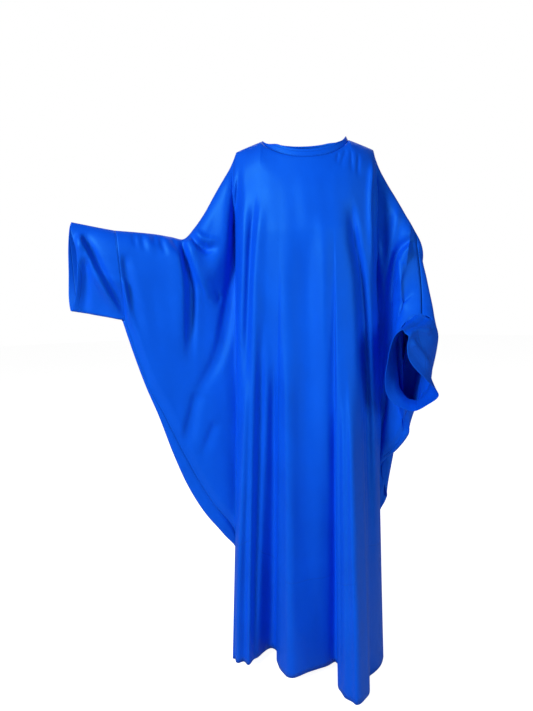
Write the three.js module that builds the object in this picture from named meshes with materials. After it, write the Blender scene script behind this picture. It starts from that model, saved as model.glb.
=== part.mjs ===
// Butterfly abaya, worn and hollow: a front and a back panel that carry their own batwing sleeves,
// two sleeve ends and a narrow stand band. Millimetres, +Z up, front towards -Y.
// The origin is the middle of the neck base, where the wearer's shoulders hold the garment.
import * as THREE from 'three';

// Driving dimensions
const WALL = 1.6;
const SEAM_GAP = 0.3;
const SLANTED_GAP = 5;
const SLANT_LIMIT = 0.4;
const CUFF_GAP = 0.8;
const CUFF_LEAD = 4;
const CUFF_TURN = 1.4;
const HEM_Z = -1412;
const NECK = { halfWidth: 112, frontReach: 91, backReach: 64, sideZ: -12, frontZ: -73, backZ: -22 };
const NECK_CURVE = { bow: 2.2, drop: 1.5 };
const SHOULDER_SEAM = { slope: 0.33, backward: 3, settled: 60 };
const BAND = { height: 18.5, lean: 5, wall: 2.4, clear: 0.1, inset: 0.999, cornering: 0.92, sideLift: 1.5 };
const SHOULDER_ROUNDING = 75;
const ARM_RADIUS = 43;
const OVER_ARM = 1.35;
const LAYER_GAP = 12;
const BULGE_FALL = 170;
const SIDE_SETTLE = 260;
const LAYER_SETTLE = 26;
const CREASE_SETTLE = 60;
const CREASE_START = 40;
const CREASE_FADE = { in: 0.18, out: 0.35 };
const TROUGH_LIMIT = 0.6;
const LEAST_ROOM = 0.5;
const PLAIN_SEAM_STOP = 4;
const PLAIN_SEAM_OPEN = 1.7;
const TURN_RADIUS = 5;
const SEAM_HALF = WALL / 2 + SEAM_GAP / 2;
const LEAST_ROLL = 1.5;
const EDGE_STRIP = Math.PI * TURN_RADIUS;
const CLOTH = { color: 0x0d52e0, roughness: 0.62, metalness: 0 };

// The figure under the cloth: reach of the front and back from the axis at heights below the neck
const TORSO = [
  { z: 0, half: 178, front: 84, back: 60 },
  { z: -70, half: 184, front: 94, back: 78 },
  { z: -150, half: 186, front: 113, back: 92 },
  { z: -250, half: 186, front: 130, back: 94 },
  { z: -400, half: 187, front: 122, back: 86 },
  { z: -620, half: 192, front: 110, back: 86 },
  { z: -900, half: 200, front: 103, back: 94 },
  { z: -1412, half: 214, front: 98, back: 104 },
];

// Steps in grain lines and in shares of a line at which directions are measured
const STEP_ACROSS = 0.2;
const STEP_DOWN = 0.03;
const STEP_ALONG_SEAM = 0.3;
const LAST_NORMAL = 0.97;

const TORSO_ROUNDNESS = 2.4;
const TORSO_SIDE = 14;
const FOLDS_START_Z = -230;
const FOLD_GROWTH = 1.15;

// Grain lines of the raised sleeve, from its sleeve end seam to the side of the skirt:
// where each leaves the top seam, where it meets the lower seam, how far the back panel rolls
// up in front there, how much of the half turn round the seam it makes (0 none, 1 all), and how
// much the line follows the torso (0 sleeve, 1 torso)
const RAISED_SLEEVE = [
  { top: [-479, -70, -237], low: [-474, -72, -461], roll: 0, turn: 1, torso: 0 },
  { top: [-432, -57, -240], low: [-452, -66, -545], roll: 0, turn: 1, torso: 0 },
  { top: [-388, -45, -244], low: [-426, -60, -632], roll: 1, turn: 1, torso: 0 },
  { top: [-350, -33, -250], low: [-396, -54, -716], roll: 9, turn: 1, torso: 0 },
  { top: [-318, -22, -254], low: [-364, -46, -820], roll: 20, turn: 1, torso: 0 },
  { top: [-290, -12, -224], low: [-330, -38, -912], roll: 28, turn: 1, torso: 0 },
  { top: [-262, -5, -184], low: [-288, -32, -991], roll: 30, turn: 1, torso: 0.12 },
  { top: [-236, -1, -140], low: [-238, -26, -1058], roll: 28, turn: 1, torso: 0.35 },
  { top: [-212, 1, -101], low: [-200, -22, -1116], roll: 5, turn: 1, torso: 0.6 },
  { top: [-192, 3, -68], low: [-188, -20, -1255], roll: 0, turn: 0, torso: 0.85 },
];

// The same for the hanging sleeve, from the side of the skirt to its sleeve end seam, with how far
// the front and the back layer stand off the arm, and how much of that they keep down to the
// lower seam where the sleeve hangs open
const HANGING_SLEEVE = [
  { top: [194, 3, -78], low: [184, -4, -1270], roll: 0, turn: 0.25, torso: 0.85, front: 43, back: 43 },
  { top: [216, 1, -120], low: [188, 4, -1165], roll: 0, turn: 1, torso: 0.6, front: 43, back: 40 },
  { top: [241, -3, -162], low: [193, 12, -1078], roll: 0, turn: 1, torso: 0.35, front: 43, back: 36 },
  { top: [265, -8, -205], low: [203, 16, -1024], roll: 0, turn: 1, torso: 0.12, front: 44, back: 32 },
  { top: [286, -14, -246], low: [213, 16, -980], roll: 0, turn: 1, torso: 0, front: 47, back: 28 },
  { top: [290, -28, -296], low: [222, 4, -925], roll: 3, turn: 1, torso: 0, front: 50, back: 25 },
  { top: [292, -42, -345], low: [233, -12, -864], roll: 5, turn: 1, torso: 0, front: 53, back: 26 },
  { top: [291, -58, -394], low: [254, -32, -794], roll: 5, turn: 1, torso: 0, front: 55, back: 30 },
  { top: [287, -76, -432], low: [268, -50, -728], roll: 0, turn: 1, torso: 0, front: 57, back: 38,
    full: 0.5 },
  { top: [281, -96, -462], low: [276, -84, -684], roll: 0, turn: 1, torso: 0, front: 58, back: 44,
    full: 0.8 },
];

// Fold lines of the skirt's front from side seam to side seam: where each starts on the shoulder
// or neckline, and where it meets the hem in plan
const FRONT_SKIRT = [
  { name: 'side seam', topX: -176, hemX: -176, hemY: -20 },
  { name: 'fold A outside', topX: -161, hemX: -219, hemY: -36 },
  { name: 'fold A edge', topX: -146, hemX: -212, hemY: -54 },
  { name: 'fold A face', topX: -132, hemX: -190, hemY: -62 },
  { name: 'fold A crest', topX: -119, hemX: -175, hemY: -84 },
  { name: 'fold A inside', topX: -107, hemX: -160, hemY: -62 },
  { name: 'valley AB side', topX: -95, hemX: -134, hemY: -26 },
  { name: 'valley AB', topX: -82, hemX: -115, hemY: -14 },
  { name: 'fold B foot', topX: -70, hemX: -98, hemY: -32 },
  { name: 'fold B edge', topX: -61, hemX: -98, hemY: -72 },
  { name: 'fold B face', topX: -52, hemX: -85, hemY: -101 },
  { name: 'fold B crest', topX: -38, hemX: -62, hemY: -119 },
  { name: 'fold B crest end', topX: -23, hemX: -38, hemY: -120 },
  { name: 'fold B slope', topX: -7, hemX: -7, hemY: -108 },
  { name: 'flat BC', topX: 10, hemX: 21, hemY: -94 },
  { name: 'flat BC end', topX: 27, hemX: 47, hemY: -84 },
  { name: 'valley BC', topX: 42, hemX: 72, hemY: -80 },
  { name: 'fold C foot', topX: 54, hemX: 73, hemY: -106 },
  { name: 'fold C edge', topX: 63, hemX: 58, hemY: -160 },
  { name: 'fold C face', topX: 72, hemX: 64, hemY: -187 },
  { name: 'fold C crest', topX: 81, hemX: 81, hemY: -203 },
  { name: 'fold C nose', topX: 91, hemX: 96, hemY: -207 },
  { name: 'fold C turn', topX: 101, hemX: 113, hemY: -202 },
  { name: 'fold C slope', topX: 110, hemX: 130, hemY: -184 },
  { name: 'fold C back', topX: 118, hemX: 138, hemY: -158 },
  { name: 'valley CD', topX: 127, hemX: 141, hemY: -127 },
  { name: 'fold D', topX: 137, hemX: 156, hemY: -116 },
  { name: 'fold D slope', topX: 148, hemX: 182, hemY: -90 },
  { name: 'outside', topX: 159, hemX: 195, hemY: -66 },
  { name: 'outside turn', topX: 169, hemX: 199, hemY: -46 },
  { name: 'side seam', topX: 178, hemX: 180, hemY: -10 },
];

// The same for the skirt's back
const BACK_SKIRT = [
  { name: 'side seam', topX: -176, hemX: -176, hemY: -20 },
  { name: 'outside turn', topX: -162, hemX: -208, hemY: 14 },
  { name: 'fold K', topX: -146, hemX: -206, hemY: 52 },
  { name: 'fold K inside', topX: -128, hemX: -178, hemY: 64 },
  { name: 'fold L foot', topX: -111, hemX: -162, hemY: 92 },
  { name: 'fold L crest', topX: -90, hemX: -134, hemY: 122 },
  { name: 'fold L slope', topX: -70, hemX: -104, hemY: 112 },
  { name: 'valley LM', topX: -50, hemX: -82, hemY: 84 },
  { name: 'valley LM end', topX: -30, hemX: -56, hemY: 80 },
  { name: 'fold M foot', topX: -11, hemX: -36, hemY: 108 },
  { name: 'fold M crest', topX: 9, hemX: -10, hemY: 136 },
  { name: 'fold M crest end', topX: 28, hemX: 20, hemY: 140 },
  { name: 'fold M slope', topX: 46, hemX: 46, hemY: 118 },
  { name: 'valley MN', topX: 62, hemX: 60, hemY: 90 },
  { name: 'valley MN end', topX: 78, hemX: 84, hemY: 82 },
  { name: 'fold N foot', topX: 94, hemX: 106, hemY: 104 },
  { name: 'fold N crest', topX: 112, hemX: 134, hemY: 116 },
  { name: 'fold N slope', topX: 130, hemX: 162, hemY: 92 },
  { name: 'valley NP', topX: 147, hemX: 178, hemY: 58 },
  { name: 'outside', topX: 163, hemX: 196, hemY: 34 },
  { name: 'side seam', topX: 178, hemX: 180, hemY: -10 },
];

// Creases of the front: ridges stand out by a positive depth, troughs by a negative one
const FRONT_CREASES = [
  { name: 'shoulder trough', depth: -20, width: 17,
    path: [[-170, -60], [-174, -138], [-183, -204], [-193, -287], [-198, -387], [-208, -465],
      [-234, -549], [-283, -660], [-322, -790]] },
  { name: 'shoulder ridge', depth: 15, width: 17,
    path: [[-168, -50], [-180, -97], [-192, -153], [-206, -214], [-224, -285], [-242, -337], [-258, -372]] },
  { name: 'elbow swag', depth: 14, width: 12,
    path: [[-318, -262], [-307, -286], [-292, -336], [-278, -364], [-264, -398], [-246, -424]] },
  { name: 'elbow trough', depth: -20, width: 15,
    path: [[-316, -290], [-302, -340], [-300, -399], [-301, -464], [-303, -542], [-318, -621]] },
  { name: 'chest ridge', depth: 11, width: 12,
    path: [[-156, -180], [-166, -304], [-176, -430], [-182, -520]] },
  { name: 'chest trough', depth: -10, width: 13,
    path: [[-126, -169], [-136, -251], [-147, -333], [-153, -520]] },
  { name: 'fold A upper', depth: 14, width: 13,
    path: [[-122, -300], [-127, -416], [-134, -600], [-150, -800]] },
  { name: 'fold B upper', depth: 9, width: 26,
    path: [[-26, -400], [-34, -541], [-49, -744], [-56, -900]] },
  { name: 'fold C upper', depth: 10, width: 26, path: [[95, -270], [97, -400], [99, -743], [104, -900]] },
  { name: 'armhole trough', depth: -17, width: 14,
    path: [[158, -62], [149, -114], [141, -152], [139, -194], [141, -265], [144, -401], [152, -736]] },
  { name: 'armhole ridge', depth: 9, width: 9,
    path: [[163, -66], [156, -114], [151, -162], [153, -224], [156, -300]] },
  { name: 'second trough', depth: -10, width: 10,
    path: [[173, -77], [167, -109], [165, -168], [169, -221], [173, -263], [184, -319], [196, -604]] },
];

// Creases of the back, of the same kinds
const BACK_CREASES = [
  { name: 'left shoulder trough', depth: -18, width: 18,
    path: [[160, -70], [158, -140], [160, -230], [168, -360], [182, -520], [192, -700]] },
  { name: 'left shoulder ridge', depth: 13, width: 18,
    path: [[176, -70], [182, -150], [190, -250], [204, -380]] },
  { name: 'right shoulder trough', depth: -18, width: 18,
    path: [[-160, -66], [-166, -140], [-178, -230], [-196, -340], [-226, -480], [-272, -640], [-314, -780]] },
  { name: 'right shoulder ridge', depth: 14, width: 17,
    path: [[-178, -80], [-194, -150], [-214, -240], [-244, -350]] },
  { name: 'elbow trough', depth: -16, width: 16,
    path: [[-318, -290], [-320, -380], [-330, -500], [-344, -640]] },
  { name: 'elbow ridge', depth: 11, width: 14, path: [[-304, -270], [-290, -340], [-272, -420]] },
  { name: 'spine trough', depth: -8, width: 30,
    path: [[-6, -150], [-14, -400], [-30, -700], [-60, -1000]] },
  { name: 'fold M upper', depth: 10, width: 28, path: [[22, -360], [16, -600], [8, -900]] },
  { name: 'fold L upper', depth: 10, width: 24, path: [[-96, -380], [-108, -600], [-122, -900]] },
  { name: 'fold N upper', depth: 9, width: 22, path: [[116, -380], [122, -600], [128, -900]] },
];

// Openings of the sleeve ends, from the top seam down the front layer and up the back one
const RAISED_OPENING = [
  [-577, -103, -219], [-573, -120, -236], [-566, -128, -262], [-559, -126, -290], [-563, -118, -340],
  [-575, -107, -392], [-594, -95, -434], [-603, -83, -402], [-602, -77, -340], [-598, -80, -280],
  [-588, -91, -234],
];
const HANGING_OPENING = [
  [210, -185, -495], [195, -180, -503], [185, -172, -529], [180, -162, -568], [177, -150, -611],
  [182, -142, -647],
  [197, -136, -672], [229, -130, -692], [256, -128, -699], [284, -138, -682], [307, -152, -655],
  [270, -178, -615],
  [236, -190, -582], [220, -196, -557], [216, -198, -530], [219, -193, -508],
];

// How finely each piece is divided
const STEPS_PER_GRAIN = { sleeve: 2, frontSkirt: 1.35, backSkirt: 1.8 };
const DOWN_STEPS = 19;
const TURN_STEPS = 5;
const ARC_SHARE = 0.8;
const TOP_CROWDING = 1.45;
const CUFF = { around: 40, along: 6 };
const MOUTH_DETAIL = 12;
const BAND_STEPS = { around: 48, up: 3 };

const clamp01 = (t) => Math.min(1, Math.max(0, t));
const lerp = (a, b, t) => a + (b - a) * t;
const lerp3 = (a, b, t) => [lerp(a[0], b[0], t), lerp(a[1], b[1], t), lerp(a[2], b[2], t)];
const add = (a, b, s = 1) => [a[0] + b[0] * s, a[1] + b[1] * s, a[2] + b[2] * s];
const sub = (a, b) => [a[0] - b[0], a[1] - b[1], a[2] - b[2]];
const length = (a) => Math.hypot(a[0], a[1], a[2]);
const dot = (a, b) => a[0] * b[0] + a[1] * b[1] + a[2] * b[2];
const unit = (a) => a.map((c) => c / (length(a) || 1));
const cross = (a, b) => [a[1] * b[2] - a[2] * b[1], a[2] * b[0] - a[0] * b[2], a[0] * b[1] - a[1] * b[0]];
const smooth = (t) => { const c = clamp01(t); return c * c * (3 - 2 * c); };

// Value of a smooth curve through the numbers of a list, at position u counted in list steps
function along(list, u, closed = false) {
  const n = list.length;
  const at = (i) => list[closed ? ((i % n) + n) % n : Math.min(n - 1, Math.max(0, i))];
  const i = closed ? Math.floor(u) : Math.min(n - 2, Math.max(0, Math.floor(u)));
  const t = u - i;
  const [a, b, c, d] = [at(i - 1), at(i), at(i + 1), at(i + 2)];
  return 0.5 * (2 * b + (c - a) * t + (2 * a - 5 * b + 4 * c - d) * t * t + (3 * b - a - 3 * c + d) * t ** 3);
}
const alongPoint = (list, u, closed) => [0, 1, 2].map((k) => along(list.map((p) => p[k]), u, closed));

// Size of the figure at a height
function torsoAt(z) {
  let row = 0;
  while (row < TORSO.length - 2 && z < TORSO[row + 1].z) row += 1;
  const u = row + clamp01((TORSO[row].z - z) / (TORSO[row].z - TORSO[row + 1].z));
  const pick = (key) => along(TORSO.map((entry) => entry[key]), u);
  return { half: pick('half'), front: pick('front'), back: pick('back') };
}

// Depth of the cloth over the figure; side is -1 on the front and 1 on the back
function torsoDepth(x, z, side) {
  const torso = torsoAt(z);
  const share = Math.min(1, Math.abs(x) / torso.half);
  const round = (1 - share ** TORSO_ROUNDNESS) ** (1 / TORSO_ROUNDNESS);
  return side * Math.hypot((side < 0 ? torso.front : torso.back) * round, TORSO_SIDE);
}

// Top edge of a panel above the skirt: shoulder seam outside the neck, neckline inside it
function shoulderPoint(x, side) {
  const outside = Math.abs(x) - NECK.halfWidth;
  if (outside >= 0) {
    const backward = SHOULDER_SEAM.backward * clamp01(outside / SHOULDER_SEAM.settled);
    return [x, backward, NECK.sideZ - SHOULDER_SEAM.slope * outside];
  }
  const share = Math.abs(x) / NECK.halfWidth;
  const reach = side < 0 ? NECK.frontReach : NECK.backReach;
  const drop = side < 0 ? NECK.frontZ : NECK.backZ;
  const bow = (1 - share ** NECK_CURVE.bow) ** (1 / NECK_CURVE.bow);
  return [x, side * reach * bow, lerp(NECK.sideZ, drop, bow ** NECK_CURVE.drop)];
}

// All grain lines of one panel as plain rows
function grainLines(side) {
  const skirt = side < 0 ? FRONT_SKIRT : BACK_SKIRT;
  const body = skirt.map((row) => ({
    top: shoulderPoint(row.topX, side),
    bodyX: row.topX,
    low: [row.hemX, row.hemY, HEM_Z],
    roll: 0, turn: 0, torso: 1, hem: 1, bulge: ARM_RADIUS, full: 0,
  }));
  const raised = RAISED_SLEEVE.map((row) => ({ full: 0, ...row, hem: 0, bulge: ARM_RADIUS }));
  const hanging = HANGING_SLEEVE.map((row) => (
    { full: 0, ...row, hem: 0, bulge: side < 0 ? row.front : row.back }));
  return [...raised, ...body, ...hanging];
}

// A panel's own lookup: every grain line value as a smooth function of u
function panelRows(side) {
  const rows = grainLines(side);
  const sleeves = [rows.slice(0, RAISED_SLEEVE.length + 1), rows.slice(-HANGING_SLEEVE.length - 1)];
  const hemLift = rows.map((row) => row.hem * (row.low[1] - torsoDepth(row.low[0], HEM_Z, side)));
  const bodyStart = RAISED_SLEEVE.length;
  const bodyX = rows.filter((row) => 'bodyX' in row).map((row) => row.bodyX);
  const bodyEnd = bodyStart + bodyX.length - 1;
  const column = (key) => rows.map((row) => row[key]);
  const keyNames = ['roll', 'turn', 'torso', 'bulge', 'full'];
  const keys = Object.fromEntries(keyNames.map((key) => [key, column(key)]));
  return {
    last: rows.length - 1,
    endsOnSeam: (u) => u < bodyStart || u > bodyEnd,
    at(u) {
      const entries = Object.entries(keys).map(([key, list]) => [key, along(list, u)]);
      const values = Object.fromEntries(entries);
      const onBody = u >= bodyStart && u <= bodyEnd;
      const near = onBody ? rows : sleeves[u < bodyStart ? 0 : 1];
      const step = u > bodyEnd ? u - bodyEnd : u;
      const top = onBody ? shoulderPoint(along(bodyX, u - bodyStart), side)
        : alongPoint(near.map((row) => row.top), step);
      return { top, low: alongPoint(near.map((row) => row.low), step), hemLift: along(hemLift, u), ...values };
    },
  };
}

// Distance from a point of the front view to a crease, and the crease's strength there
function creaseDepth(crease, x, z) {
  let best = { distance: Infinity, share: 0 };
  const steps = crease.path.length - 1;
  for (let i = 0; i < steps; i += 1) {
    const [ax, az] = crease.path[i];
    const [bx, bz] = crease.path[i + 1];
    const t = clamp01(((x - ax) * (bx - ax) + (z - az) * (bz - az)) / ((bx - ax) ** 2 + (bz - az) ** 2));
    const distance = Math.hypot(x - lerp(ax, bx, t), z - lerp(az, bz, t));
    if (distance < best.distance) best = { distance, share: (i + t) / steps };
  }
  const taper = smooth(best.share / CREASE_FADE.in) * smooth((1 - best.share) / CREASE_FADE.out);
  return crease.depth * taper * Math.exp(-((best.distance / crease.width) ** 2));
}

// Middle of a sleeve between its two layers, and the direction in which its back layer lies
function sleeveMiddle(rows, u, f) {
  const row = rows.at(u);
  return lerp3(row.top, row.low, f);
}
function sleeveNormal(rows, u, f) {
  const across = sub(sleeveMiddle(rows, u + STEP_ACROSS, f), sleeveMiddle(rows, u - STEP_ACROSS, f));
  const down = sub(sleeveMiddle(rows, u, f + STEP_DOWN), sleeveMiddle(rows, u, f - STEP_DOWN));
  return unit(cross(across, down));
}

// A point of the wall's middle surface. u counts grain lines, v runs from the top seam (0) to the
// lower edge (1), and q carries the back panel on round the rolled lower seam (0 to 1)
function panelPoint(rows, side, u, v, q) {
  const row = rows.at(u);
  const creases = side < 0 ? FRONT_CREASES : BACK_CREASES;
  const rolled = rows.endsOnSeam(u);
  const turn = rolled ? clamp01(row.turn) : 0;
  const roll = Math.max(LEAST_ROLL, row.roll);
  const endOpen = lerp(PLAIN_SEAM_OPEN, TURN_RADIUS, turn);
  const up = unit(sub(row.top, row.low));
  const seamRun = unit(sub(rows.at(u + STEP_ALONG_SEAM).low, rows.at(u - STEP_ALONG_SEAM).low));
  const slant = rolled ? length(cross(up, seamRun)) : 1;
  const bodyward = add(up, [u < rows.last / 2 ? 1 : -1, 0, 0]);
  const inward = rolled ? unit(add(bodyward, seamRun, -dot(bodyward, seamRun))) : up;
  const plainStop = side < 0 ? (rolled ? PLAIN_SEAM_STOP : 0) : EDGE_STRIP + LEAST_ROLL;
  const gap = lerp(SLANTED_GAP, SEAM_GAP, clamp01(slant / SLANT_LIMIT));
  const rolledStop = side < 0 ? roll + TURN_RADIUS + gap : TURN_RADIUS;
  const stop = lerp(plainStop, rolledStop, turn);
  const end = add(row.low, inward, stop);
  const span = length(sub(end, row.top));
  const d = v * span;
  const base = lerp3(row.top, end, v);
  const outward = sleeveNormal(rows, u, Math.min(v, LAST_NORMAL)).map((c) => c * side);
  const overArm = OVER_ARM * row.bulge;
  const rise = clamp01(d / overArm);
  const fall = Math.exp(-((Math.max(0, d - overArm) / BULGE_FALL) ** 2));
  const full = clamp01(row.full);
  const closing = clamp01(((span - d) * slant) / LAYER_SETTLE);
  const settled = lerp(smooth(closing), Math.sqrt(1 - (1 - closing) ** 2), full);
  const hang = lerp(endOpen, lerp(LAYER_GAP, row.bulge, Math.max(fall, full)), settled);
  const open = lerp(SEAM_HALF, hang, Math.sqrt(1 - (1 - rise) ** 2));
  const sleeve = add(base, outward, open);
  const growth = clamp01((FOLDS_START_Z - base[2]) / (FOLDS_START_Z - HEM_Z)) ** FOLD_GROWTH;
  const over = clamp01(d / SHOULDER_ROUNDING);
  const depth = torsoDepth(base[0], base[2], side) + growth * row.hemLift + side * SEAM_HALF;
  const start = row.top[1] + side * SEAM_HALF;
  const torso = [base[0], lerp(start, depth, Math.sqrt(1 - (1 - over) ** 2)), base[2]];
  const share = clamp01(row.torso) * (rolled ? smooth((span - d) / SIDE_SETTLE) : 1);
  const point = lerp3(sleeve, torso, share);
  const nearSeam = smooth(d / CREASE_START) * (rolled ? smooth((span - d) / CREASE_SETTLE) : 1);
  const fold = nearSeam * creases.reduce((sum, crease) => sum + creaseDepth(crease, point[0], point[2]), 0);
  const room = lerp(open - 2 * SEAM_HALF, TROUGH_LIMIT * Math.abs(depth), share);
  const held = fold < 0 ? -room * (1 - Math.exp(fold / Math.max(room, LEAST_ROOM))) : fold;
  const folded = add(point, lerp3(outward, [0, side, 0], share), held);
  if (q <= 0) return folded;
  const bend = Math.PI * turn;
  const angle = bend * Math.min(1, q / ARC_SHARE);
  const ahead = bend > 0 ? Math.sin(angle) / bend : Math.min(1, q / ARC_SHARE);
  const aside = bend > 0 ? (1 - Math.cos(angle)) / bend : 0;
  const climb = clamp01((q - ARC_SHARE) / (1 - ARC_SHARE)) * lerp(LEAST_ROLL, roll, turn);
  return add(
    add(folded, inward, -EDGE_STRIP * ahead - climb * Math.cos(bend)),
    outward, -EDGE_STRIP * aside - climb * Math.sin(bend));
}

// Evenly spread positions from one grain line up to, not including, another
function spread(from, to, perGrain) {
  const count = Math.round((to - from) * perGrain);
  return Array.from({ length: count }, (_, i) => from + ((to - from) * i) / count);
}

// The grid of one panel: a list of grain lines, each a list of points from top to bottom
function panelGrid(side) {
  const rows = panelRows(side);
  const skirtSteps = side < 0 ? STEPS_PER_GRAIN.frontSkirt : STEPS_PER_GRAIN.backSkirt;
  const skirtEnd = rows.last - HANGING_SLEEVE.length;
  const stations = [
    ...spread(0, RAISED_SLEEVE.length, STEPS_PER_GRAIN.sleeve),
    ...spread(RAISED_SLEEVE.length, skirtEnd, skirtSteps),
    ...spread(skirtEnd, rows.last, STEPS_PER_GRAIN.sleeve), rows.last];
  const grid = [];
  for (const u of stations) {
    const line = [];
    for (let k = 0; k <= DOWN_STEPS; k += 1) {
      line.push(panelPoint(rows, side, u, (k / DOWN_STEPS) ** TOP_CROWDING, 0));
    }
    const turnSteps = side > 0 ? TURN_STEPS : 0;
    for (let k = 1; k <= turnSteps; k += 1) {
      line.push(panelPoint(rows, side, u, 1, k / TURN_STEPS));
    }
    grid.push(line);
  }
  return grid;
}

// A closed wall of even thickness over a grid of middle points; facing is 1 or -1
function wall(grid, facing, thickness, closed = false) {
  const rows = grid.length;
  const columns = grid[0].length;
  const get = (i, k) => {
    const row = closed ? (i + rows) % rows : Math.min(rows - 1, Math.max(0, i));
    return grid[row][Math.min(columns - 1, Math.max(0, k))];
  };
  const positions = [];
  for (const offset of [thickness / 2, -thickness / 2]) {
    for (let i = 0; i < rows; i += 1) {
      for (let k = 0; k < columns; k += 1) {
        const normal = unit(cross(sub(get(i + 1, k), get(i - 1, k)), sub(get(i, k + 1), get(i, k - 1))));
        positions.push(...add(grid[i][k], normal, offset * facing));
      }
    }
  }
  const index = [];
  const inner = rows * columns;
  const id = (i, k) => (i % rows) * columns + k;
  const quad = (a, b, c, d) => (facing > 0 ? index.push(a, b, c, a, c, d) : index.push(a, c, b, a, d, c));
  const spans = closed ? rows : rows - 1;
  for (let i = 0; i < spans; i += 1) {
    for (let k = 0; k < columns - 1; k += 1) {
      quad(id(i, k), id(i + 1, k), id(i + 1, k + 1), id(i, k + 1));
      quad(inner + id(i, k), inner + id(i, k + 1), inner + id(i + 1, k + 1), inner + id(i + 1, k));
    }
    quad(id(i, 0), inner + id(i, 0), inner + id(i + 1, 0), id(i + 1, 0));
    const k = columns - 1;
    quad(id(i + 1, k), inner + id(i + 1, k), inner + id(i, k), id(i, k));
  }
  if (!closed) {
    for (let k = 0; k < columns - 1; k += 1) {
      quad(id(0, k + 1), inner + id(0, k + 1), inner + id(0, k), id(0, k));
      const i = rows - 1;
      quad(id(i, k), inner + id(i, k), inner + id(i, k + 1), id(i, k + 1));
    }
  }
  const geometry = new THREE.BufferGeometry();
  geometry.setAttribute('position', new THREE.Float32BufferAttribute(positions, 3));
  geometry.setIndex(index);
  geometry.computeVertexNormals();
  return geometry;
}

// Points spread evenly round a closed loop
function evenLoop(points, count) {
  const sums = [0];
  for (let i = 0; i < points.length; i += 1) {
    sums.push(sums[i] + length(sub(points[(i + 1) % points.length], points[i])));
  }
  return Array.from({ length: count }, (_, j) => {
    const target = (j / count) * sums[points.length];
    let i = 0;
    while (sums[i + 1] < target) i += 1;
    const t = (target - sums[i]) / (sums[i + 1] - sums[i]);
    return { i, next: (i + 1) % points.length, t };
  });
}
const pickFrom = (list) => ({ i, next, t }) => lerp3(list[i], list[next], t);

const middleOf = (points) => points.reduce((sum, p) => add(sum, p, 1 / points.length), [0, 0, 0]);

// A sleeve end: a tube that carries on from the open edge of the two panels and ends at its own
// opening. edge and before are the panels' last two grain lines there
function sleeveEnd(edge, before, opening, facing) {
  const around = ([front, back]) => [...front, ...[...back].reverse()];
  const seam = around(edge);
  const run = seam.map((point, i) => unit(sub(point, around(before)[i])));
  const places = evenLoop(seam, CUFF.around);
  const starts = places.map(pickFrom(seam));
  const runs = places.map(pickFrom(run)).map(unit);
  const mouth = Array.from({ length: opening.length * MOUTH_DETAIL },
    (_, i) => alongPoint(opening, i / MOUTH_DETAIL, true));
  const ends = evenLoop(mouth, CUFF.around).map(pickFrom(mouth));
  const leaving = unit(sub(middleOf(ends), middleOf(starts)));
  const grid = starts.map((start, i) => {
    const first = add(start, runs[i], CUFF_GAP);
    const lead = add(first, runs[i], CUFF_LEAD);
    const reach = length(sub(ends[i], lead));
    const rest = Array.from({ length: CUFF.along }, (_, k) => {
      const t = k / (CUFF.along - 1);
      const early = add(lead, leaving, reach * t);
      return lerp3(early, lerp3(lead, ends[i], t), smooth(t * CUFF_TURN));
    });
    return [first, ...rest];
  });
  return wall(grid, facing, WALL, true);
}

// The neck band stands on the panels' neckline and leans in towards the neck
function neckBand() {
  const grid = [];
  for (let i = 0; i < BAND_STEPS.around; i += 1) {
    const angle = (i / BAND_STEPS.around) * Math.PI * 2;
    const side = Math.cos(angle) > 0 ? -1 : 1;
    const across = Math.sin(angle);
    const x = NECK.halfWidth * Math.sign(across) * Math.abs(across) ** BAND.cornering * BAND.inset;
    const foot = shoulderPoint(x, side);
    const inward = unit([-foot[0], -foot[1], 0]);
    const lift = SEAM_GAP + BAND.clear + WALL * Math.abs(across) ** BAND.sideLift;
    const line = [];
    for (let k = 0; k <= BAND_STEPS.up; k += 1) {
      const rise = k / BAND_STEPS.up;
      const raised = add(foot, [0, 0, 1], lift + rise * BAND.height);
      line.push(add(raised, inward, BAND.lean * rise));
    }
    grid.push(line);
  }
  return wall(grid, -1, BAND.wall, true);
}

function piece(name, geometry) {
  const mesh = new THREE.Mesh(geometry, new THREE.MeshStandardMaterial(CLOTH));
  mesh.name = name;
  return mesh;
}

const frontGrid = panelGrid(-1);
const backGrid = panelGrid(1);
const garment = new THREE.Group();
garment.name = 'butterfly_abaya';
garment.add(piece('front_panel', wall(frontGrid, -1, WALL)));
garment.add(piece('back_panel', wall(backGrid, 1, WALL)));
garment.add(piece('right_sleeve_end',
  sleeveEnd([frontGrid[0], backGrid[0]], [frontGrid[1], backGrid[1]], RAISED_OPENING, 1)));
garment.add(piece('left_sleeve_end', sleeveEnd(
  [frontGrid.at(-1), backGrid.at(-1)], [frontGrid.at(-2), backGrid.at(-2)], HANGING_OPENING, -1)));
garment.add(piece('neck_band', neckBand()));

export default garment;
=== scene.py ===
# %% [markdown]
# # A butterfly abaya in crepe
# A butterfly abaya is two wide panels, one in front and one behind, joined along the shoulders and
# under the arms. The wearer's shoulders hold it up, and the cloth that is too wide for them hangs
# in folds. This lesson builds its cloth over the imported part, which gives the true sizes, and then
# adds the finish, the light and the camera.

# %% Load the part as a fixed frame
from math import pi, radians
import bpy
import numpy as np
from mathutils import Matrix, Vector


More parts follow.
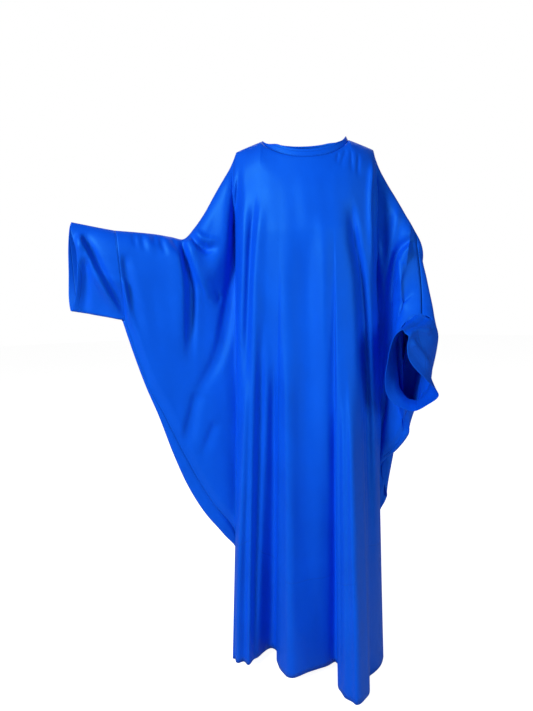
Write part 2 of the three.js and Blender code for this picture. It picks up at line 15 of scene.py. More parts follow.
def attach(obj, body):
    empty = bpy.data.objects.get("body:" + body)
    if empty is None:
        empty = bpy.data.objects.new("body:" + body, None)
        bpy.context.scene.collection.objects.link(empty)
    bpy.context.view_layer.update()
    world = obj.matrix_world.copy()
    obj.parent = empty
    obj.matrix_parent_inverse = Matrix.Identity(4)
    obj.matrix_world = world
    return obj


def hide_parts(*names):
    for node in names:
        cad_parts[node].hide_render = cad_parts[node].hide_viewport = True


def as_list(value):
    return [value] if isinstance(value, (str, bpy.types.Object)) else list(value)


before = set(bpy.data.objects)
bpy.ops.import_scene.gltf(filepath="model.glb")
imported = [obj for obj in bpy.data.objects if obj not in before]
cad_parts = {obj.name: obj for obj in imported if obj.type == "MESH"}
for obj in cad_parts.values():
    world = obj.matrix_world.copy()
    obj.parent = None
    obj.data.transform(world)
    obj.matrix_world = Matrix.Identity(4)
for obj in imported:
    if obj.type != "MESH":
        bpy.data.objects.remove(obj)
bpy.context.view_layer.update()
MM = 0.001

# %% [markdown]
# ## Camera
# The camera comes first, because every later choice is judged through it. It stands as high as
# the garment's hips and a little to one side, close enough that the hem spreads and the shoulders
# lean back. The lens and the small roll were worked out from the neck, hem and sleeve ends.

# %% Camera
LENS_MM = 24.66
CAMERA_AT = Vector((-0.109, -1.317, -0.425))
PITCH_DOWN = 6.1
ROLL = 1.2

camera_data = bpy.data.cameras.new("camera")
camera_data.lens = LENS_MM
camera_data.sensor_width = 36
camera_data.clip_start = 0.02
camera = bpy.data.objects.new("camera", camera_data)
bpy.context.scene.collection.objects.link(camera)
camera.matrix_world = (Matrix.Translation(CAMERA_AT)
                       @ Matrix.Rotation(radians(90 - PITCH_DOWN), 4, "X")
                       @ Matrix.Rotation(radians(-ROLL), 4, "Z"))
bpy.context.scene.camera = camera
print("camera at", tuple(round(c, 3) for c in CAMERA_AT), "lens", LENS_MM)

# %% [markdown]
# ## Sizes of the pattern
# A dressmaker would start from measurements, and so does this piece. The tables hold the figure
# under the cloth, the grain lines of both sleeves from the shoulder seam to the lower seam, and the
# folds of the skirt from side seam to side seam, all in millimetres. They are the part's own, apart
# from the lower edge of the hanging sleeve, which falls in a zigzag here.

# %% Sizes of the cut
# Thickness of the cloth, half the distance between the panels at a seam, and the gap between
# the edges of sewn pieces
WALL = 1.0
SEAM_HALF = 0.95
SEAM_GAP = 0.3
HEM_Z = -1412
NECK = dict(half=112, front=91, back=64, side_z=-12, front_z=-73, back_z=-22)
# How far the cloth stands out over an arm
ARM = 43

# Height, half width, front reach and back reach of the figure
TORSO = np.array([
    (0, 178, 84, 60), (-70, 184, 94, 78), (-150, 186, 113, 92), (-250, 186, 130, 94),
    (-400, 187, 122, 86), (-620, 192, 110, 86), (-900, 200, 103, 94), (-1412, 214, 98, 104)], float)

# Grain lines of the raised sleeve: top point, low point, roll, turn, torso share
RAISED = [
    ((-479, -70, -237), (-474, -72, -461), 0, 1, 0),
    ((-432, -57, -240), (-452, -66, -545), 0, 1, 0),
    ((-388, -45, -244), (-426, -60, -632), 1, 1, 0),
    ((-350, -33, -250), (-396, -54, -716), 9, 1, 0),
    ((-318, -22, -254), (-364, -46, -820), 20, 1, 0),
    ((-290, -12, -224), (-330, -38, -912), 28, 1, 0),
    ((-262, -5, -184), (-288, -32, -991), 30, 1, 0.12),
    ((-236, -1, -140), (-238, -26, -1058), 28, 1, 0.35),
    ((-212, 1, -101), (-200, -22, -1116), 5, 1, 0.6),
    ((-192, 3, -68), (-188, -20, -1255), 0, 0, 0.85),
]

# The same for the hanging sleeve, with the front bulge, the back bulge and how full it stays
HANGING = [
    ((194, 3, -78), (184, -4, -1270), 0, 0.25, 0.85, 43, 43, 0),
    ((216, 1, -120), (186, 6, -1165), 0, 1, 0.6, 43, 40, 0),
    ((241, -3, -162), (182, 22, -1066), 0, 1, 0.35, 43, 36, 0),
    ((265, -8, -205), (208, 22, -1016), 0, 1, 0.12, 44, 32, 0),
    ((286, -14, -246), (224, 16, -970), 0, 1, 0, 47, 28, 0),
    ((290, -28, -296), (209, 4, -878), 3, 1, 0, 50, 25, 0),
    ((292, -42, -345), (246, -10, -832), 5, 1, 0, 53, 26, 0),
    ((291, -58, -394), (270, -26, -788), 5, 1, 0, 55, 30, 0),
    ((287, -76, -432), (266, -50, -736), 0, 1, 0, 57, 38, 0.5),
    ((281, -96, -462), (276, -84, -684), 0, 1, 0, 58, 44, 0.8),
]

# Folds of the skirt's front: x at the shoulder, x and y at the hem
FRONT_SKIRT = [
    (-176, -176, -20), (-161, -219, -36), (-146, -212, -54), (-132, -190, -62), (-119, -175, -84),
    (-107, -160, -62), (-95, -134, -26), (-82, -115, -14), (-70, -98, -32), (-61, -98, -72),
    (-52, -85, -101), (-38, -62, -119), (-23, -38, -120), (-7, -7, -108), (10, 21, -94),
    (27, 47, -84), (42, 72, -80), (54, 73, -106), (63, 58, -160), (72, 64, -187), (81, 81, -203),
    (91, 96, -207), (101, 113, -202), (110, 130, -184), (118, 138, -158), (127, 141, -127),
    (137, 156, -116), (148, 182, -90), (159, 195, -66), (169, 199, -46), (178, 180, -10),
]

# The same for its back
BACK_SKIRT = [
    (-176, -176, -20), (-162, -208, 14), (-146, -206, 52), (-128, -178, 64), (-111, -162, 92),
    (-90, -134, 122), (-70, -104, 112), (-50, -82, 84), (-30, -56, 80), (-11, -36, 108),
    (9, -10, 136), (28, 20, 140), (46, 46, 118), (62, 60, 90), (78, 84, 82), (94, 106, 104),
    (112, 134, 116), (130, 162, 92), (147, 178, 58), (163, 196, 34), (178, 180, -10),
]
BODY_START = len(RAISED)
print("grain lines:", len(RAISED), "raised,", len(HANGING), "hanging")

# %% [markdown]
# ## Creases
# Where the cloth is pulled, it creases. Each crease is a line in the front view with a depth, and a
# width on either side: a ridge stands out, a trough sinks in, and the narrower side is the steep
# one. A cloth simulation could make them, but it would settle into folds of its own, and these
# follow the worn pose fold by fold.

# %% Crease lines
# Depth, width on the viewer's left and on the right, growth of both along the path, and the path
FRONT_CREASES = [
    # Between the raised arm and the body
    (22, 32, 27, 0.1, [(-172, -57), (-188, -110), (-199, -170), (-206, -228), (-215, -272),
        (-227, -308), (-241, -340), (-258, -366), (-276, -384)]),
    (-34, 8, 9, 0.8, [(-165, -64), (-171, -115), (-176, -173), (-182, -222), (-184, -268),
        (-188, -305), (-194, -345), (-200, -385), (-207, -424), (-215, -466), (-226, -519),
        (-243, -572), (-272, -624), (-300, -664), (-330, -710)]),
    (10, 5, 13, 0.4, [(-150, -120), (-159, -210), (-163, -291), (-168, -365), (-175, -428),
        (-180, -492), (-186, -570), (-194, -680)]),
    (-12, 10, 5, 0.4, [(-126, -150), (-136, -230), (-143, -294), (-148, -366), (-152, -441),
        (-158, -516), (-164, -600), (-170, -700)]),
    (9, 5, 15, 0.4, [(-112, -160), (-122, -236), (-129, -295), (-136, -367), (-142, -441),
        (-148, -529), (-156, -640)]),
    # Folds that start where the sleeve is caught at the elbow
    (-15, 5, 9, 0.8, [(-303, -243), (-298, -249), (-284, -266), (-273, -277), (-257, -287),
        (-240, -284), (-222, -270)]),
    (9, 8, 8, 0.4, [(-300, -232), (-284, -242), (-268, -256), (-251, -264), (-234, -262),
        (-220, -252)]),
    (17, 4, 24, 0.3, [(-318, -246), (-311, -259), (-302, -283), (-293, -311), (-282, -343),
        (-271, -372), (-260, -400), (-246, -418), (-228, -428)]),
    (-24, 9, 5, 0.9, [(-322, -252), (-313, -281), (-305, -311), (-298, -344), (-294, -379),
        (-296, -425), (-300, -477), (-304, -529), (-309, -600)]),
    (8, 24, 8, 0.6, [(-330, -262), (-325, -300), (-321, -349), (-321, -412), (-324, -476),
        (-330, -541), (-340, -620)]),
    (-4, 4, 4, 0.4, [(-246, -392), (-236, -396), (-230, -405), (-231, -416), (-234, -428)]),
    (-15, 9, 13, 0.4, [(-292, -650), (-302, -687), (-313, -729), (-325, -776), (-334, -820)]),
    (-7, 8, 12, 0.4, [(-252, -735), (-257, -755), (-268, -781), (-279, -808), (-290, -850)]),
    (-9, 6, 9, 1.2, [(-452, -290), (-450, -320), (-447, -355), (-443, -395), (-437, -440),
        (-429, -490), (-418, -540)]),
    (6, 5, 7, 0.4, [(-456, -350), (-455, -380), (-456, -420), (-458, -459), (-458, -490)]),
    # Puckers under the top seam of the raised sleeve
    (-4, 4, 4, 0.3, [(-434, -238), (-431, -252), (-427, -268), (-422, -290)]),
    (-4, 5, 4, 0.3, [(-416, -238), (-412, -254), (-408, -271), (-401, -297)]),
    (3, 6, 8, 0.3, [(-402, -238), (-397, -256), (-391, -278), (-384, -310)]),
    (-3.5, 5, 5, 0.3, [(-388, -240), (-384, -256), (-380, -280)]),
    (-4.5, 4, 5, 0.3, [(-374, -241), (-369, -258), (-363, -277), (-354, -306)]),
    (3, 6, 8, 0.3, [(-361, -242), (-355, -260), (-348, -284), (-342, -312)]),
    (-4.5, 4, 5, 0.3, [(-347, -242), (-341, -258), (-332, -276), (-324, -306)]),
    # Folds of the skirt
    (13, 12, 12, 0.2, [(-160, -560), (-164, -673), (-172, -800), (-181, -930), (-191, -1060),
        (-204, -1260), (-214, -1500), (-224, -1900)]),
    (-21, 13, 9, 0.3, [(-119, -440), (-124, -593), (-129, -724), (-138, -885), (-147, -1052),
        (-157, -1225), (-165, -1400), (-175, -1700), (-185, -2100)]),
    (-14, 13, 4, 0.3, [(-91, -560), (-91, -660), (-92, -760), (-93, -949), (-95, -1110),
        (-96, -1277), (-98, -1450), (-100, -1700), (-100, -2100)]),
    (11, 8, 24, 0.3, [(-66, -480), (-63, -620), (-63, -745), (-64, -928), (-67, -1090),
        (-69, -1256), (-71, -1450), (-72, -1700), (-72, -2100)]),
    (-15, 34, 30, 0.2, [(-4, -200), (-8, -323), (-13, -467), (-14, -617), (-19, -744),
        (-15, -875), (-14, -1036), (-16, -1260), (-16, -1600), (-16, -2000)]),
    (10, 20, 30, 0.4, [(32, -182), (34, -324), (37, -468), (42, -620), (47, -750), (52, -900),
        (52, -1060)]),
    (-12, 14, 4, 0.2, [(69, -640), (68, -739), (67, -865), (67, -1015), (65, -1168), (63, -1330),
        (62, -1500), (60, -1800), (60, -2200)]),
    (12, 6, 16, 0.2, [(90, -560), (92, -764), (92, -912), (92, -1061), (94, -1209), (95, -1400),
        (96, -1700), (96, -2100)]),
    (10, 10, 5, 0.2, [(133, -560), (135, -621), (137, -750), (139, -908), (138, -1077),
        (140, -1258), (141, -1420), (142, -1700), (142, -2100)]),
    # Between the body and the hanging arm
    (-30, 16, 9, 0.3, [(100, -170), (108, -225), (117, -290), (126, -330), (134, -380),
        (139, -440), (143, -520), (147, -620), (150, -740), (152, -900), (154, -1040),
        (155, -1200)]),
    (13, 9, 5, 0.3, [(170, -62), (163, -110), (157, -160), (156, -210), (157, -262), (160, -335),
        (168, -430)]),
    (-19, 5, 9, 0.7, [(182, -78), (174, -120), (168, -161), (166, -211), (169, -272), (178, -330),
        (190, -400), (197, -500), (198, -640)]),
    (8, 9, 9, 0.6, [(184, -250), (190, -320), (200, -400), (206, -480), (206, -600)]),
    (9, 12, 10, 0.4, [(236, -180), (232, -214), (226, -252), (220, -290), (214, -330),
        (210, -380), (206, -430)]),
    (-13, 9, 5, 0.5, [(296, -252), (285, -262), (261, -274), (245, -287), (236, -304),
        (231, -330), (228, -365), (224, -405), (220, -450)]),
    (11, 5, 13, 0.5, [(294, -268), (280, -278), (263, -290), (251, -304), (244, -324),
        (240, -356), (236, -400), (230, -450)]),
    (-5, 6, 6, 0.4, [(274, -400), (262, -412), (247, -423), (232, -436), (222, -456)]),
    (5, 6, 6, 0.4, [(276, -414), (262, -426), (248, -438), (236, -452)]),
    # Gathers below the wearer's left shoulder
    (-3, 3.5, 3.5, 0.6, [(78, -62), (74, -76), (70, -92)]),
    (-3, 4, 4, 0.6, [(98, -52), (92, -68), (84, -86), (78, -104)]),
    (-3.5, 4, 4, 0.6, [(112, -50), (110, -72), (108, -92), (107, -116)]),
    (-3.5, 4, 4, 0.6, [(128, -64), (126, -84), (124, -104), (123, -124)]),
]
BACK_CREASES = [
    (-22, 12, 18, 0.6, [(160, -70), (158, -140), (160, -230), (168, -360), (182, -520),
        (192, -700)]),
    (16, 18, 14, 0.6, [(176, -70), (182, -150), (190, -250), (204, -380)]),
    (-22, 18, 12, 0.8, [(-160, -66), (-166, -140), (-178, -230), (-196, -340), (-226, -480),
        (-272, -640), (-314, -780)]),
    (20, 17, 12, 0.7, [(-178, -80), (-194, -150), (-214, -240), (-244, -350)]),
    (-16, 16, 12, 0.8, [(-318, -290), (-320, -380), (-330, -500), (-344, -640)]),
    (11, 12, 16, 0.8, [(-304, -270), (-290, -340), (-272, -420)]),
    (-11, 34, 26, 0.4, [(-6, -150), (-14, -400), (-30, -700), (-60, -1000), (-62, -1300),
        (-62, -1700), (-62, -2100)]),
    (10, 28, 20, 0.3, [(22, -360), (16, -600), (8, -900), (4, -1200), (4, -1600), (4, -2000)]),
    (10, 16, 24, 0.3, [(-96, -380), (-108, -600), (-122, -900), (-130, -1200), (-134, -1600),
        (-136, -2000)]),
    (9, 22, 14, 0.3, [(116, -380), (122, -600), (128, -900), (134, -1200), (136, -1600),
        (136, -2000)]),
    (-9, 10, 16, 0.4, [(60, -200), (70, -340), (78, -560), (80, -800), (82, -1100), (82, -1500),
        (82, -1900)]),
    (-6, 14, 10, 0.5, [(-60, -90), (-68, -190), (-80, -320), (-90, -500)]),
    (-11, 6, 9, 0.5, [(290, -250), (262, -272), (246, -296), (238, -340), (232, -400)]),
    (9, 9, 12, 0.5, [(288, -272), (266, -292), (254, -318), (247, -360), (240, -420)]),
]
print("creases:", len(FRONT_CREASES), "in front,", len(BACK_CREASES), "behind")

# %% [markdown]
# ## Curves through the measurements
# A seam or a fold runs smoothly through its measured points. A Catmull-Rom curve does that: it
# passes through each value of a list, and its slope there follows the two neighbours.

# %% Smooth curves and small vector helpers
def curve(values, u, closed=False):
    values = np.asarray(values, float)
    n = len(values)
    i = np.floor(u).astype(int) if closed else np.clip(np.floor(u).astype(int), 0, n - 2)
    t = np.asarray(u - i)
    pick = (lambda k: values[k % n]) if closed else (lambda k: values[np.clip(k, 0, n - 1)])
    a, b, c, d = pick(i - 1), pick(i), pick(i + 1), pick(i + 2)
    if values.ndim > 1:
        t = t[..., None]
    return 0.5 * (2 * b + (c - a) * t + (2 * a - 5 * b + 4 * c - d) * t ** 2
                  + (3 * b - a - 3 * c + d) * t ** 3)


def mix(a, b, t):
    return a + (b - a) * t


def smooth(t):
    t = np.clip(t, 0, 1)
    return t * t * (3 - 2 * t)


def unit(v):
    return v / np.maximum(np.linalg.norm(v, axis=-1, keepdims=True), 1e-9)


def stack(*parts):
    return np.stack(np.broadcast_arrays(*parts), axis=-1).astype(float)


print("half way between 0 and 1:", curve([0, 1], np.array(0.5)))

# %% [markdown]
# ## The figure and the shoulder line
# The cloth rests on a general figure, wide at the shoulders and flat in front and behind. Between
# the neck and the shoulders each panel starts on the neckline, and outside it on the shoulder seam.

# %% Depth of the cloth over the figure, and the top edge of a panel
# How square the figure is from above, and how deep it still is at its sides
TORSO_ROUND = 2.4
TORSO_SIDE = 14
# How round the neckline is from above, and how late it dips towards the middle
NECK_ROUND = 2.2
NECK_DIP = 1.5
# The shoulder seam lies a little behind the neck's sides and slopes down to the arm
SEAM_BEHIND = 3
SEAM_BEHIND_FROM = 60
SHOULDER_SLOPE = 0.33


def torso_depth(x, z, side):
    table = TORSO[::-1]
    half, front, back = (np.interp(z, table[:, 0], table[:, k]) for k in (1, 2, 3))
    share = np.minimum(1, np.abs(x) / half)
    round_part = (1 - share ** TORSO_ROUND) ** (1 / TORSO_ROUND)
    return side * np.hypot((front if side < 0 else back) * round_part, TORSO_SIDE)


def shoulder_point(x, side):
    outside = np.abs(x) - NECK["half"]
    share = np.minimum(1, np.abs(x) / NECK["half"])
    bow = (1 - share ** NECK_ROUND) ** (1 / NECK_ROUND)
    reach, drop = (NECK["front"], NECK["front_z"]) if side < 0 else (NECK["back"], NECK["back_z"])
    behind = SEAM_BEHIND * np.clip(outside / SEAM_BEHIND_FROM, 0, 1)
    on_seam = stack(x, behind, NECK["side_z"] - SHOULDER_SLOPE * outside)
    on_neck = stack(x, side * reach * bow, mix(NECK["side_z"], drop, bow ** NECK_DIP))
    return np.where((outside >= 0)[..., None], on_seam, on_neck)


print("neckline in front:", shoulder_point(np.array(0.0), -1).round(1))

# %% [markdown]
# ## Grain lines
# A grain line is one thread of the cloth, from the top seam down to the lower seam or the hem. The
# whole panel is a family of them, counted by u. Along the wings, the front and the back panel share
# the same lines, so that their seams match.

# %% Values of one grain line
# Steps across the lines and along one of them, over which the cloth's slope is measured
ACROSS_STEP = 0.2
DOWN_STEP = 0.03


class GrainLines:
    def __init__(self, side):
        skirt = np.array(FRONT_SKIRT if side < 0 else BACK_SKIRT, float)
        self.side = side
        self.body_x = skirt[:, 0]
        self.body_end = BODY_START + len(skirt) - 1
        self.last = self.body_end + len(HANGING)
        body_top = shoulder_point(self.body_x, side)
        body_low = np.column_stack([skirt[:, 1:], np.full(len(skirt), HEM_Z)])
        raised_top, raised_low = (np.array([row[k] for row in RAISED], float) for k in (0, 1))
        hanging_top, hanging_low = (np.array([row[k] for row in HANGING], float) for k in (0, 1))
        self.raised = [np.vstack([raised_top, body_top[:1]]),
                       np.vstack([raised_low, body_low[:1]])]
        self.hanging = [np.vstack([body_top[-1:], hanging_top]),
                        np.vstack([body_low[-1:], hanging_low])]
        self.body_low = body_low
        n = len(skirt)
        bulge = 5 if side < 0 else 6
        columns = {"roll": 2, "turn": 3, "torso": 4, "bulge": bulge, "full": 7}
        plain = {"roll": 0, "turn": 0, "torso": 1, "bulge": ARM, "full": 0}
        self.values = {}
        for name, k in columns.items():
            raised = [row[k] if k < len(row) else plain[name] for row in RAISED]
            hanging = [row[k] for row in HANGING]
            self.values[name] = np.array(raised + [plain[name]] * n + hanging, float)
        lift = body_low[:, 1] - torso_depth(body_low[:, 0], float(HEM_Z), side)
        flat = np.zeros(len(RAISED)), np.zeros(len(HANGING))
        self.values["lift"] = np.concatenate([flat[0], lift, flat[1]])

    def ends(self, u):
        on_raised, on_hanging = u < BODY_START, u > self.body_end
        out = []
        for k in (0, 1):
            if k == 0:
                body = shoulder_point(curve(self.body_x, u - BODY_START), self.side)
            else:
                body = curve(self.body_low, u - BODY_START)
            raised = curve(self.raised[k], u)
            hanging = curve(self.hanging[k], u - self.body_end)
            point = np.where(on_raised[..., None], raised, body)
            out.append(np.where(on_hanging[..., None], hanging, point))
        return out

    def value(self, name, u):
        return curve(self.values[name], u)

    def middle(self, u, f):
        top, low = self.ends(u)
        return mix(top, low, f[..., None])

    def outward(self, u, f):
        across = self.middle(u + ACROSS_STEP, f) - self.middle(u - ACROSS_STEP, f)
        down = self.middle(u, f + DOWN_STEP) - self.middle(u, f - DOWN_STEP)
        return unit(np.cross(across, down)) * self.side


front_lines = GrainLines(-1)
back_lines = GrainLines(1)
print("grain lines in all:", front_lines.last + 1, "and", back_lines.last + 1)

# %% [markdown]
# ## Depth of the creases
# Each crease adds its depth to the points near its line, strongest on the line and fading to both
# sides and to both ends. Soft cloth widens a crease as it runs out, so the width grows on the way.
# Small waves, about a millimetre high, keep the cloth between the creases from looking like card.

# %% Crease depth at points of the front view
# Shares of a crease's length over which it deepens at its start and runs out at its end
CREASE_RISE = 0.18
CREASE_RUN_OUT = 0.4


def crease_depth(creases, x, z):
    total = np.zeros_like(x)
    for depth, left, right, growth, path in creases:
        path = np.array(path, float)
        best = np.full(x.shape, np.inf)
        share = np.zeros(x.shape)
        width = np.full(x.shape, float(left))
        steps = len(path) - 1
        for i in range(steps):
            a, b = path[i], path[i + 1]
            run = b - a
            from_x, from_z = x - a[0], z - a[1]
            t = np.clip((from_x * run[0] + from_z * run[1]) / (run @ run), 0, 1)
            distance = np.hypot(from_x - run[0] * t, from_z - run[1] * t)
            near = distance < best
            best = np.where(near, distance, best)
            share = np.where(near, (i + t) / steps, share)
            width = np.where(near, np.where(run[0] * from_z < run[1] * from_x, left, right), width)
        taper = smooth(share / CREASE_RISE) * smooth((1 - share) / CREASE_RUN_OUT)
        total += depth * taper * np.exp(-(best / (width * (1 + growth * share))) ** 2)
    return total


def small_waves(x, z, side):
    drift = 0.9 * np.sin(x / 17 + z / 260 + side) * np.sin(z / 190 + x / 90)
    pull = (0.6 * np.sin(x / 7.5 + z / 120 + 2 * side) * np.sin(z / 77 + 1.3)
            * np.sin(z / 310 + x / 41))
    return drift + pull


on_trough = crease_depth(FRONT_CREASES, np.array([-186.0]), np.array([-287.0]))
print("depth on the first trough:", on_trough.round(1))

# %% [markdown]
# ## A point of the cloth
# This is the heart of the garment. Between its top seam and its lower edge, a grain line bulges
# over the arm, falls almost flat below it and closes again at the lower seam. Towards the body it
# follows the figure instead. The back panel is a little wider than the front one, so below the
# raised arm it rolls round the seam and shows as a narrow strip in front.

# %% How the cloth hangs between its seams
# Lengths over which it rounds the shoulder, falls in below the arm and settles at its edges
ROUNDING = 75
BULGE_FALL = 170
SIDE_SETTLE = 260
LAYER_SETTLE = 26
SHORT_SETTLE = 6
# How far down a line the arm still holds the cloth out, as a share of its bulge
BULGE_REACH = 1.35
# Each panel's distance from the middle between them, below the arm and at an edge not rolled
LAYER_GAP = 12
PLAIN_OPEN = 1.7
# How far above the lower seam the front's edge stops where it isn't rolled
PLAIN_STOP = 4
# Height at which the skirt's folds start, and how late they deepen
FOLDS_START = -230
FOLD_GROWTH = 1.15
# Step along the lower seam that gives its direction, and the last place with a sure slope
SEAM_STEP = 0.3
LAST_SLOPE = 0.97

# %% How the back panel rolls round the seam
TURN_RADIUS = 5
LEAST_ROLL = 1.5
LEAST_BEND = 1e-4
EDGE_STRIP = pi * TURN_RADIUS
# Shares of the strip that bend round the seam and that climb in front of it
TURN_SHARE = 0.8
CLIMB_SHARE = 0.2


def turned_edge(point, inward, outward, roll, turn, q):
    bend = np.maximum(pi * turn, LEAST_BEND)
    angle = bend * np.minimum(1, q / TURN_SHARE)
    ahead, aside = np.sin(angle) / bend, (1 - np.cos(angle)) / bend
    climb = np.clip((q - TURN_SHARE) / CLIMB_SHARE, 0, 1) * mix(LEAST_ROLL, roll, turn)
    along = (EDGE_STRIP * ahead + climb * np.cos(bend))[..., None]
    over_edge = (EDGE_STRIP * aside + climb * np.sin(bend))[..., None]
    return point - inward * along - outward * over_edge


# %% How creases and small waves move the cloth
# Lengths over which they fade in below the top seam and out above the lower one
CREASE_LEAD = 14
CREASE_SETTLE = 60
WAVE_SETTLE = 60
# A trough stays inside this share of the depth of the figure, and keeps this least room
TROUGH_SHARE = 0.6
LEAST_ROOM = 0.5


def creased(point, side, outward, share, room, crease_share, wave_share):
    x, z = point[..., 0], point[..., 2]
    creases = FRONT_CREASES if side < 0 else BACK_CREASES
    fold = crease_share * crease_depth(creases, x, z)
    held = np.where(fold < 0, -room * (1 - np.exp(np.minimum(0, fold) / room)), fold)
    held = held + wave_share * small_waves(x, z, side)
    lean = mix(outward, stack(0.0, float(side), 0.0), share[..., None])
    return point + lean * held[..., None]


# %% Points of a panel's cloth
def cloth_point(lines, u, v, q=None):
    side = lines.side
    top, low = lines.ends(u)
    to_body = np.where(u < BODY_START + 0.5, u - BODY_START + 1, lines.body_end + 1 - u)
    near_body = smooth(to_body)[..., None]
    flat_body = near_body[..., 0]
    turn = np.clip(lines.value("turn", u), 0, 1) * (1 - flat_body)
    roll = np.maximum(LEAST_ROLL, lines.value("roll", u))
    bulge = lines.value("bulge", u)

    # Where the lower seam runs, and the way up from it into the cloth
    up = unit(top - low)
    seam_run = unit(lines.ends(u + SEAM_STEP)[1] - lines.ends(u - SEAM_STEP)[1])
    slant = mix(np.linalg.norm(np.cross(up, seam_run), axis=-1), 1, flat_body)
    bodyward = up + stack(np.where(u < lines.last / 2, 1.0, -1.0), 0, 0)
    inward = unit(bodyward - seam_run * np.sum(bodyward * seam_run, axis=-1, keepdims=True))
    inward = unit(mix(inward, up, near_body))
    plain_stop = mix(PLAIN_STOP, 0, flat_body) if side < 0 else EDGE_STRIP + LEAST_ROLL
    rolled_stop = roll + TURN_RADIUS + SEAM_GAP if side < 0 else TURN_RADIUS
    stop = mix(plain_stop, rolled_stop, turn)

    # Place on the line, and how far the cloth stands off the middle of the sleeve
    end = low + inward * stop[..., None]
    span = np.linalg.norm(end - top, axis=-1)
    d = v * span
    base = mix(top, end, v[..., None])
    outward = lines.outward(u, np.minimum(v, LAST_SLOPE))
    reach = BULGE_REACH * bulge
    rise = np.clip(d / reach, 0, 1)
    fall = np.exp(-(np.maximum(0, d - reach) / BULGE_FALL) ** 2)
    full = np.clip(lines.value("full", u), 0, 1)
    closing = np.clip((span - d) * slant / LAYER_SETTLE, 0, 1)
    settled = mix(smooth(closing), np.sqrt(1 - (1 - closing) ** 2), full)
    end_open = mix(mix(PLAIN_OPEN, SEAM_HALF, flat_body), TURN_RADIUS, turn)
    hang = mix(end_open, mix(LAYER_GAP, bulge, np.maximum(fall, full)), settled)
    open_half = mix(SEAM_HALF, hang, np.sqrt(1 - (1 - rise) ** 2))
    sleeve = base + outward * open_half[..., None]

    # The same place over the figure, with the folds of the skirt
    drop = (FOLDS_START - base[..., 2]) / (FOLDS_START - HEM_Z)
    growth = np.clip(drop, 0, 1) ** FOLD_GROWTH
    depth = (torso_depth(base[..., 0], base[..., 2], side) + growth * lines.value("lift", u)
             + side * SEAM_HALF)
    over = np.clip(d / ROUNDING, 0, 1)
    start = top[..., 1] + side * SEAM_HALF
    rounding = np.sqrt(1 - (1 - over) ** 2)
    torso = stack(base[..., 0], mix(start, depth, rounding), base[..., 2])

    # Between the two, the sleeve takes over from the figure and closes at its lower seam
    on_hem = (u >= BODY_START) & (u <= lines.body_end)
    side_part = np.maximum(SIDE_SETTLE * (1 - flat_body), SHORT_SETTLE)
    crease_part = np.maximum(CREASE_SETTLE * (1 - flat_body), SHORT_SETTLE)
    side_closes = np.where(on_hem, 1, smooth((span - d) / side_part))
    crease_closes = np.where(on_hem, 1, smooth((span - d) / crease_part))
    share = np.clip(lines.value("torso", u), 0, 1) * side_closes
    point = mix(sleeve, torso, share[..., None])
    behind_seam = open_half - 2 * SEAM_HALF
    over_figure = TROUGH_SHARE * np.abs(depth) * rounding
    room = np.maximum(LEAST_ROOM, mix(behind_seam, over_figure, share))
    crease_share = smooth(d / CREASE_LEAD) * crease_closes
    wave_share = smooth(d / WAVE_SETTLE) * smooth((span - d) * slant / WAVE_SETTLE)
    folded = creased(point, side, outward, share, room, crease_share, wave_share)
    if q is None:
        return folded
    return turned_edge(folded, inward, outward, roll, turn, q)


probe = cloth_point(front_lines, np.array([22.0]), np.array([0.5]))
print("a point half way down the front:", probe.round(1))

# %% [markdown]
# ## From points to a piece of cloth
# The points form a grid, and neighbours are joined by squares. A second layer, one cloth thickness
# further in, makes the piece solid, as real cloth is. The flat position of every point is kept as a
# UV map in metres, so that weave and stitching keep their true size whatever the cloth does.

# %% Helper that turns a grid into a mesh object
def cloth_object(name, grid, uv, thickness=WALL, closed=False, flip=False):
    rows, columns = grid.shape[:2]
    index = np.arange(rows * columns).reshape(rows, columns)
    below = np.roll(index, -1, axis=0) if closed else index[1:]
    above = index if closed else index[:-1]
    corners = [above[:, :-1], below[:, :-1], below[:, 1:], above[:, 1:]]
    quads = np.stack(corners, axis=-1).reshape(-1, 4)
    if flip:
        quads = quads[:, ::-1]
    mesh = bpy.data.meshes.new(name)
    mesh.from_pydata((grid.reshape(-1, 3) * MM).tolist(), [], quads.tolist())
    layer = mesh.uv_layers.new(name="cloth_metres")
    loops = np.empty(len(mesh.loops), dtype=np.int32)
    mesh.loops.foreach_get("vertex_index", loops)
    layer.data.foreach_set("uv", uv.reshape(-1, 2)[loops].astype(np.float32).ravel())
    mesh.polygons.foreach_set("use_smooth", np.ones(len(mesh.polygons), dtype=bool))
    mesh.update()
    piece = bpy.data.objects.new(name, mesh)
    bpy.context.scene.collection.objects.link(piece)
    solid = piece.modifiers.new("thickness", "SOLIDIFY")
    solid.thickness = thickness * MM
    solid.offset = 0
    return piece


def arc_length(grid, axis):
    step = np.linalg.norm(np.diff(grid, axis=axis), axis=-1)
    pad = [(0, 0), (0, 0)]
    pad[axis] = (1, 0)
    return np.cumsum(np.pad(step, pad), axis=axis) * MM


def cloth_area(grid, closed=False):
    shifted = np.vstack([grid, grid[:1]]) if closed else grid
    a = shifted[1:, :-1] - shifted[:-1, :-1]
    b = shifted[:-1, 1:] - shifted[:-1, :-1]
    return float(np.linalg.norm(np.cross(a, b), axis=-1).sum()) * MM * MM


# %% [markdown]
# ## The two panels
# Both panels use the same grain lines along the wings. The lines are closer together over the
# skirt, because its folds are narrow, and the points on each line crowd towards the shoulder, where
# the cloth turns over most sharply.

# %% Grids of the front and the back panel
# Lines of points in each step of u, and points down a line and round the rolled edge
SLEEVE_LINES = 9
SKIRT_LINES = {-1: 7, 1: 9}
DOWN = 122
TURN = 12
CROWDING = 1.35


